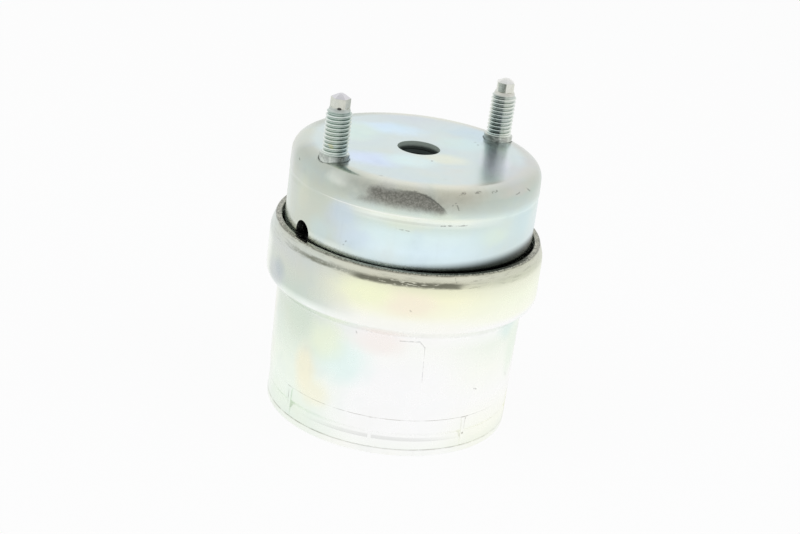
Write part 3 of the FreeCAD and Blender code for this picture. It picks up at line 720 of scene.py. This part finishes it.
def stud_finish(name, centre_x, look):
    """Zinc over a rolled thread, with painted light: crests painted bright, roots painted dark as shade,
    one side painted darker as shade.
    """
    graph = Graph(name, centre_x)

    def pair(factor, colours):
        return graph.mix(factor, srgb(*colours[0]), srgb(*colours[1]))

    # Painted shade: one side of the stud darker, more so low down.
    dark_from, dark_to, soft_from, soft_to = look["dark"]
    dark = graph.rise(graph.angle, dark_from - soft_from, dark_from + soft_from)
    dark = dark * (1.0 - graph.rise(graph.angle, dark_to - soft_to, dark_to + soft_to))
    low = 1.0 - graph.rise(graph.z, STUD_THREAD_FOOT, STUD_THREAD_FOOT + 12.0)
    dark = dark * (low * 0.45 + 0.55)
    # Crests painted light and roots painted dark, as highlight and shade.
    on_thread = graph.band(graph.z, STUD_THREAD_FOOT + 0.1, STUD_THREAD_TOP, 0.3)
    root = (1.0 - graph.rise(graph.radius, 3.55, 3.93)) * on_thread
    colour = graph.mix(root, pair(dark, look["crest"]), pair(dark, look["root"]))

    # The cone above the thread, the hexagon and its cap: the flats on the shaded side get painted shade,
    # and the cap is painted lighter, as lit from above.
    flat_from, flat_to = look["dark_flat"]
    dark_flat = graph.rise(graph.angle, flat_from - 8.0, flat_to + 12.0)
    dark_flat = dark_flat * (1.0 - graph.rise(graph.angle, flat_to - 0.5, flat_to + 1.5))
    smear = graph.noise(1.2, 3.0, 0.6, 26.0)
    end = graph.shade(pair(dark_flat, look["flats"]), graph.rise(smear, 0.45, 0.70) * 0.10)
    end = graph.mix(graph.rise(graph.z, HEX_TOP - 0.08, HEX_TOP + 0.08), end, srgb(*look["cap"]))
    end = graph.mix(graph.rise(graph.z, HEX_FOOT - 0.1, HEX_FOOT + 0.15), srgb(*look["cone"]), end)
    colour = graph.mix(graph.rise(graph.z, STUD_THREAD_TOP - 0.4, STUD_THREAD_TOP + 0.5), colour, end)

    # Painted shade on the neck, darker on the shaded side, broken by noise.
    neck = 1.0 - graph.rise(graph.z, STUD_THREAD_FOOT - 0.2, STUD_THREAD_FOOT + 0.2)
    smudge = graph.noise(1.6, 3.0, 0.6, 25.0)
    neck_shade = graph.mix(graph.rise(smudge, 0.40, 0.60), srgb(86, 91, 86), srgb(172, 178, 170))
    colour = graph.mix(neck * (0.55 + dark * 0.4), colour, graph.shade(neck_shade, dark * 0.4))
    gold = graph.spot(graph.angle, graph.z, (-20.0, STUD_THREAD_FOOT + 3.0), (22.0, 0.8))
    colour = graph.mix(gold * 0.5 * look["gold_and_dent_shadow"], colour, srgb(212, 206, 140))
    # A painted shadow of a small dent under the hexagon.
    dent_shadow = graph.spot(graph.angle, graph.z, (0.0, HEX_FOOT + 0.15), (18.0, 0.5)) * look["gold_and_dent_shadow"]
    colour = graph.mix(graph.rise(dent_shadow, 0.1, 0.5) * 0.9, colour, srgb(54, 50, 44))
    colour, cloud = zinc_skin(graph, colour, 23.0, 0.12)
    return graph.finish(colour, 0.26 + (cloud - 0.5) * 0.14, 1.0)


def steel_finish(name, colour, seed):
    """Bare or lightly oiled machined steel."""
    graph = Graph(name)
    cloud = graph.noise(4.0, 3.0, 0.6, seed)
    turned = graph.noise(0.5, 2.0, 0.5, seed + 1, graph.place_stretched(0.02, 1.0))
    shaded = graph.shade(colour, cloud * 0.25 + turned * 0.15)
    graph.bump(turned, 0.02)
    return graph.finish(shaded, 0.34 + cloud * 0.2, 1.0)


def cast_finish():
    """Die-cast aluminium: a dull, slightly pitted skin."""
    graph = Graph("cast_aluminium_skin")
    cloud = graph.noise(5.0, 3.0, 0.6, 31.0)
    pits = graph.specks(0.9, 0.22, 32.0)
    colour = graph.shade(srgb(168, 170, 172), cloud * 0.25 + pits * 0.3)
    graph.bump(graph.noise(0.6, 3.0, 0.6, 33.0) - pits * 0.5, 0.03)
    return graph.finish(colour, 0.5 + cloud * 0.15, 1.0)


def rubber_finish():
    """Black rubber with a grey bloom."""
    graph = Graph("natural_rubber")
    cloud = graph.noise(6.0, 3.0, 0.6, 41.0)
    bloom = graph.noise(1.2, 4.0, 0.65, 42.0)
    colour = graph.mix(cloud * 0.6 + bloom * 0.3, srgb(24, 25, 26), srgb(50, 51, 50))
    graph.bump(graph.noise(0.35, 3.0, 0.6, 43.0), 0.02)
    return graph.finish(colour, 0.62 + bloom * 0.2, 0.0)


def paint(node, material):
    """Gives a CAD node this material and no other."""
    materials = frame["nodes"][node].data.materials
    materials.clear()
    materials.append(material)


# ------------------------------------------------------------------ threaded studs

def shade_smooth(mesh):
    """Smooth shading that keeps the edges sharper than SHARP_EDGE."""
    bm = bmesh.new()
    bm.from_mesh(mesh)
    bmesh.ops.remove_doubles(bm, verts=bm.verts, dist=WELD_GAP)
    bmesh.ops.dissolve_degenerate(bm, edges=bm.edges, dist=WELD_GAP)
    bmesh.ops.recalc_face_normals(bm, faces=bm.faces)
    for face in bm.faces:
        face.smooth = True
    limit = math.radians(SHARP_EDGE)
    for edge in bm.edges:
        if len(edge.link_faces) == 2 and edge.calc_face_angle() > limit:
            edge.smooth = False
    bm.to_mesh(mesh)
    bm.free()


def thread_depth_at(phase):
    """Depth of an ISO thread below its crest; phase 0 is the middle of the crest."""
    away = abs((phase + 0.5) % 1.0 - 0.5) * 2
    share = min(max((away - CREST_END) / (ROOT_START - CREST_END), 0.0), 1.0)
    return THREAD_DEPTH * share


def ring_of(bm, radius_at, height_at):
    """A ring of points round the axis; radius and height are functions of the angle."""
    ring = []
    for i in range(RING_STEPS):
        angle = 2 * math.pi * i / RING_STEPS
        radius = radius_at(angle)
        ring.append(bm.verts.new((radius * math.cos(angle), radius * math.sin(angle), height_at(angle))))
    return ring


def thread_rings():
    """The thread's rings from foot to top: for each, its radius and its height by angle."""
    count = int((STUD_THREAD_TOP - STUD_THREAD_FOOT) / THREAD_PITCH * RINGS_PER_TURN)
    for row in range(-RINGS_PER_TURN, count + 1):
        def height_at(angle, row=row):
            z = STUD_THREAD_FOOT + THREAD_PITCH * (row / RINGS_PER_TURN + angle / (2 * math.pi))
            return min(max(z, STUD_THREAD_FOOT), STUD_THREAD_TOP)

        def radius_at(angle, row=row, height_at=height_at):
            z = height_at(angle)
            fade = min((z - STUD_THREAD_FOOT) / FADE_IN, (STUD_THREAD_TOP - z) / FADE_OUT, 1.0)
            cone = CONE_TOP_R + (STUD_THREAD_TOP - z) * CONE_SLOPE
            full = min(THREAD_R, cone) - thread_depth_at(row / RINGS_PER_TURN) * max(fade, 0.0)
            return max(full, THREAD_FLOOR_R)
        yield radius_at, height_at


def stud_mesh(name, low_z, head_z, hexagon_turn):
    """A stud on the origin's axis: head, neck, rolled thread, hexagonal end and pilot tip."""
    flats = HEXAGON_FLATS / 2
    corner = flats / math.cos(math.radians(30))
    bm = bmesh.new()
    rings = []

    def plain(radius, height):
        rings.append(ring_of(bm, lambda angle: radius, lambda angle: height))

    def hexagon(height, scale=1.0):
        def radius_at(angle):
            off = (angle - math.radians(hexagon_turn) + math.pi / 6) % (math.pi / 3) - math.pi / 6
            off = math.pi / 6 - abs(off)
            return min(scale * flats / math.cos(off), corner)
        rings.append(ring_of(bm, radius_at, lambda angle: height))

    plain(HEAD_R - HEAD_BEVEL, low_z)
    plain(HEAD_R, low_z + HEAD_BEVEL)
    plain(HEAD_R, head_z)
    plain(NECK_R, head_z)
    plain(NECK_R, STUD_THREAD_FOOT - 0.5)
    plain(NECK_R - 0.1, STUD_THREAD_FOOT - 0.15)
    plain(NECK_R - 0.45, STUD_THREAD_FOOT)
    for radius_at, height_at in thread_rings():
        rings.append(ring_of(bm, radius_at, height_at))
    plain(CONE_TOP_R, STUD_THREAD_TOP)
    plain(corner, HEX_FOOT)
    hexagon(HEX_FOOT + 0.15)
    hexagon(HEX_TOP - 0.08)
    hexagon(HEX_TOP + 0.08, 0.95)
    hexagon(STUD_TIP - 0.16, 0.34)
    hexagon(STUD_TIP, 0.16)

    for lower, upper in zip(rings, rings[1:]):
        for i in range(RING_STEPS):
            j = (i + 1) % RING_STEPS
            bm.faces.new((lower[i], lower[j], upper[j], upper[i]))
    bm.faces.new(list(reversed(rings[0])))
    bm.faces.new(rings[-1])
    mesh = bpy.data.meshes.new(name)
    bm.to_mesh(mesh)
    bm.free()
    mesh.transform(Matrix.Scale(MM, 4))
    shade_smooth(mesh)
    return mesh


def threaded_stud(side, node):
    """Puts a threaded stud in the plain CAD stud's place; side is -1 at the left, 1 at the right."""
    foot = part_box(node)[0].z / MM
    stud_x = side * STUD_SPACING / 2
    name = "threaded_" + node
    look = STUD_LOOKS[node]
    mesh = stud_mesh(name, foot, foot + HEAD_HEIGHT, look["turn"])
    mesh.transform(Matrix.Translation((stud_x, 0, 0)))
    piece = bpy.data.objects.new(name, mesh)
    bpy.context.scene.collection.objects.link(piece)
    mesh.materials.append(stud_finish(name + "_zinc", stud_x / MM, look))
    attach(piece, "root")
    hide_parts(node)


# ------------------------------------------------------------------ studio

def way_to(turn, rise):
    """The direction to a place round the mount; turn 0 is in front of it, on -Y. In degrees."""
    turn, rise = math.radians(turn), math.radians(rise)
    return Vector((math.sin(turn) * math.cos(rise), -math.cos(turn) * math.cos(rise), math.sin(rise)))


def view_axes():
    """The camera's right, up and backward directions."""
    turn, roll = math.radians(CAMERA_TURN), math.radians(CAMERA_ROLL)
    right = Vector((math.cos(turn), math.sin(turn), 0))
    back = way_to(CAMERA_TURN, CAMERA_RISE)
    up = back.cross(right)
    tilted_right = math.cos(roll) * right + math.sin(roll) * up
    tilted_up = math.cos(roll) * up - math.sin(roll) * right
    return tilted_right, tilted_up, back


def set_camera():
    """The photo's camera."""
    right, up, back = view_axes()
    aim = Vector((0, 0, SEAT_Z)) - AIM_LEFT * right - AIM_DOWN * up
    data = bpy.data.cameras.new("camera")
    data.lens = CAMERA_LENS
    data.sensor_width = CAMERA_SENSOR
    data.clip_start, data.clip_end = CAMERA_CLIP
    camera = bpy.data.objects.new("camera", data)
    axes = Matrix((right, up, back)).transposed().to_4x4()
    camera.matrix_world = Matrix.Translation(aim + back * CAMERA_DISTANCE) @ axes
    bpy.context.scene.collection.objects.link(camera)
    bpy.context.scene.camera = camera


def new_node(tree, kind, values=(), **settings):
    """A node with some of its inputs set; values are (input, value)."""
    node = tree.nodes.new(kind)
    for name, value in settings.items():
        setattr(node, name, value)
    for socket, value in values:
        node.inputs[socket].default_value = value
    return node


def link_all(tree, node, *sources):
    """Feeds a node's first inputs from other outputs, in order, and gives its first output."""
    for socket, source in zip(node.inputs, sources):
        tree.links.new(source, socket)
    return node.outputs[0]


def backdrop_rays(tree):
    """1 for the rays that see the white backdrop: camera, glossy and transmission."""
    path = new_node(tree, "ShaderNodeLightPath")
    seen = path.outputs["Is Camera Ray"]
    for name in ("Is Glossy Ray", "Is Transmission Ray"):
        either = new_node(tree, "ShaderNodeMath", operation="MAXIMUM")
        seen = link_all(tree, either, seen, path.outputs[name])
    return seen


def glow(tree, colour, strength=1.0):
    """Light of an even colour from all round."""
    return new_node(tree, "ShaderNodeBackground", [("Color", (*colour, 1)), ("Strength", strength)])


def set_world():
    """White all round. Reflections find it dimmer above and behind the camera, as in a room."""
    world = bpy.data.worlds.new("studio")
    world.use_nodes = True
    tree = world.node_tree
    tree.nodes.clear()
    fill = glow(tree, FILL_COLOUR, WORLD_FILL)
    white = glow(tree, WHITE)
    room = glow(tree, WHITE)
    way = new_node(tree, "ShaderNodeTexCoord")
    towards = new_node(tree, "ShaderNodeVectorMath", operation="DOT_PRODUCT")
    towards.inputs[1].default_value = way_to(CAMERA_TURN, ROOM_RISE)
    tree.links.new(way.outputs["Generated"], towards.inputs[0])
    limits = zip(("From Min", "From Max", "To Min", "To Max"), (*ROOM_EDGE, 1.0, ROOM_LEVEL))
    fall = new_node(tree, "ShaderNodeMapRange", limits, interpolation_type="SMOOTHSTEP")
    tree.links.new(towards.outputs["Value"], fall.inputs["Value"])
    tree.links.new(fall.outputs[0], room.inputs["Strength"])
    path = new_node(tree, "ShaderNodeLightPath")
    backdrop = new_node(tree, "ShaderNodeMixShader")
    link_all(tree, backdrop, path.outputs["Is Camera Ray"], room.outputs[0], white.outputs[0])
    mix = new_node(tree, "ShaderNodeMixShader")
    link_all(tree, mix, backdrop_rays(tree), fill.outputs[0], backdrop.outputs[0])
    output = new_node(tree, "ShaderNodeOutputWorld")
    tree.links.new(mix.outputs[0], output.inputs["Surface"])
    bpy.context.scene.world = world


def floor_material():
    """White to the camera, with a faint share that takes the object's shadow."""
    material = bpy.data.materials.new("pale_floor")
    material.use_nodes = True
    tree = material.node_tree
    tree.nodes.clear()
    matt = new_node(tree, "ShaderNodeBsdfDiffuse", [("Color", FLOOR_COLOUR)])
    white = new_node(tree, "ShaderNodeEmission", [("Strength", 1.0)])
    path = new_node(tree, "ShaderNodeLightPath")
    veil = new_node(tree, "ShaderNodeMath", [(1, FLOOR_SHADOW_SHARE)], operation="MULTIPLY")
    share = new_node(tree, "ShaderNodeMath", operation="SUBTRACT")
    mix = new_node(tree, "ShaderNodeMixShader")
    veiled = link_all(tree, veil, path.outputs["Is Camera Ray"])
    glowing = link_all(tree, share, backdrop_rays(tree), veiled)
    link_all(tree, mix, glowing, matt.outputs[0], white.outputs[0])
    output = new_node(tree, "ShaderNodeOutputMaterial")
    tree.links.new(mix.outputs[0], output.inputs["Surface"])
    return material


def set_floor():
    """A square floor under the mount, just below its foot."""
    half = FLOOR_SIZE / 2
    corners = [(-half, -half, 0), (half, -half, 0), (half, half, 0), (-half, half, 0)]
    mesh = bpy.data.meshes.new("floor")
    mesh.from_pydata(corners, [], [(0, 1, 2, 3)])
    floor = bpy.data.objects.new("floor", mesh)
    floor.location.z = cad_low.z - FLOOR_GAP
    bpy.context.scene.collection.objects.link(floor)
    mesh.materials.append(floor_material())


def add_softbox(name, turn, rise, power):
    """A square area lamp aimed at the middle of the mount; turn counts from the camera's side."""
    data = bpy.data.lights.new(name, "AREA")
    data.shape = "SQUARE"
    data.size = SOFTBOX_SIZE
    data.energy = power
    way = way_to(CAMERA_TURN + turn, rise)
    lamp = bpy.data.objects.new(name, data)
    lamp.location = Vector((0, 0, SEAT_Z / 2)) + way * SOFTBOX_DISTANCE
    lamp.visible_camera = False
    lamp.visible_glossy = False
    lamp.rotation_euler = (-way).to_track_quat("-Z", "Y").to_euler()
    bpy.context.scene.collection.objects.link(lamp)


# ------------------------------------------------------------------ the scene

paint("upper_cup", cup_finish())
paint("lower_housing", housing_finish())
paint("base_plate", base_finish())
steel = steel_finish("inner_steel_turned", srgb(150, 152, 154), seed=51.0)
paint("base_bush", steel_finish("bush_steel", srgb(186, 192, 190), seed=57.0))
paint("spacer_sleeve", steel_finish("sleeve_zinc", srgb(206, 211, 205), seed=63.0))
paint("inner_core", steel_finish("core_steel_dark", srgb(58, 66, 64), seed=61.0))
cast = cast_finish()
rubber = rubber_finish()
for node in ("fill_ball", "track_upper_plate", "track_rivets", "diaphragm_ring"):
    paint(node, steel)
for node in ("spring_outer_ring", "track_body"):
    paint(node, cast)
for node in ("rubber_spring", "track_seal", "decoupler_membrane", "diaphragm"):
    paint(node, rubber)
threaded_stud(-1, "stud_left")
threaded_stud(1, "stud_right")

set_camera()
set_world()
set_floor()
add_softbox("key_softbox", turn=-60, rise=55, power=5.0)
add_softbox("fill_softbox", turn=75, rise=45, power=4.0)
bpy.context.scene.view_settings.view_transform = "Standard"
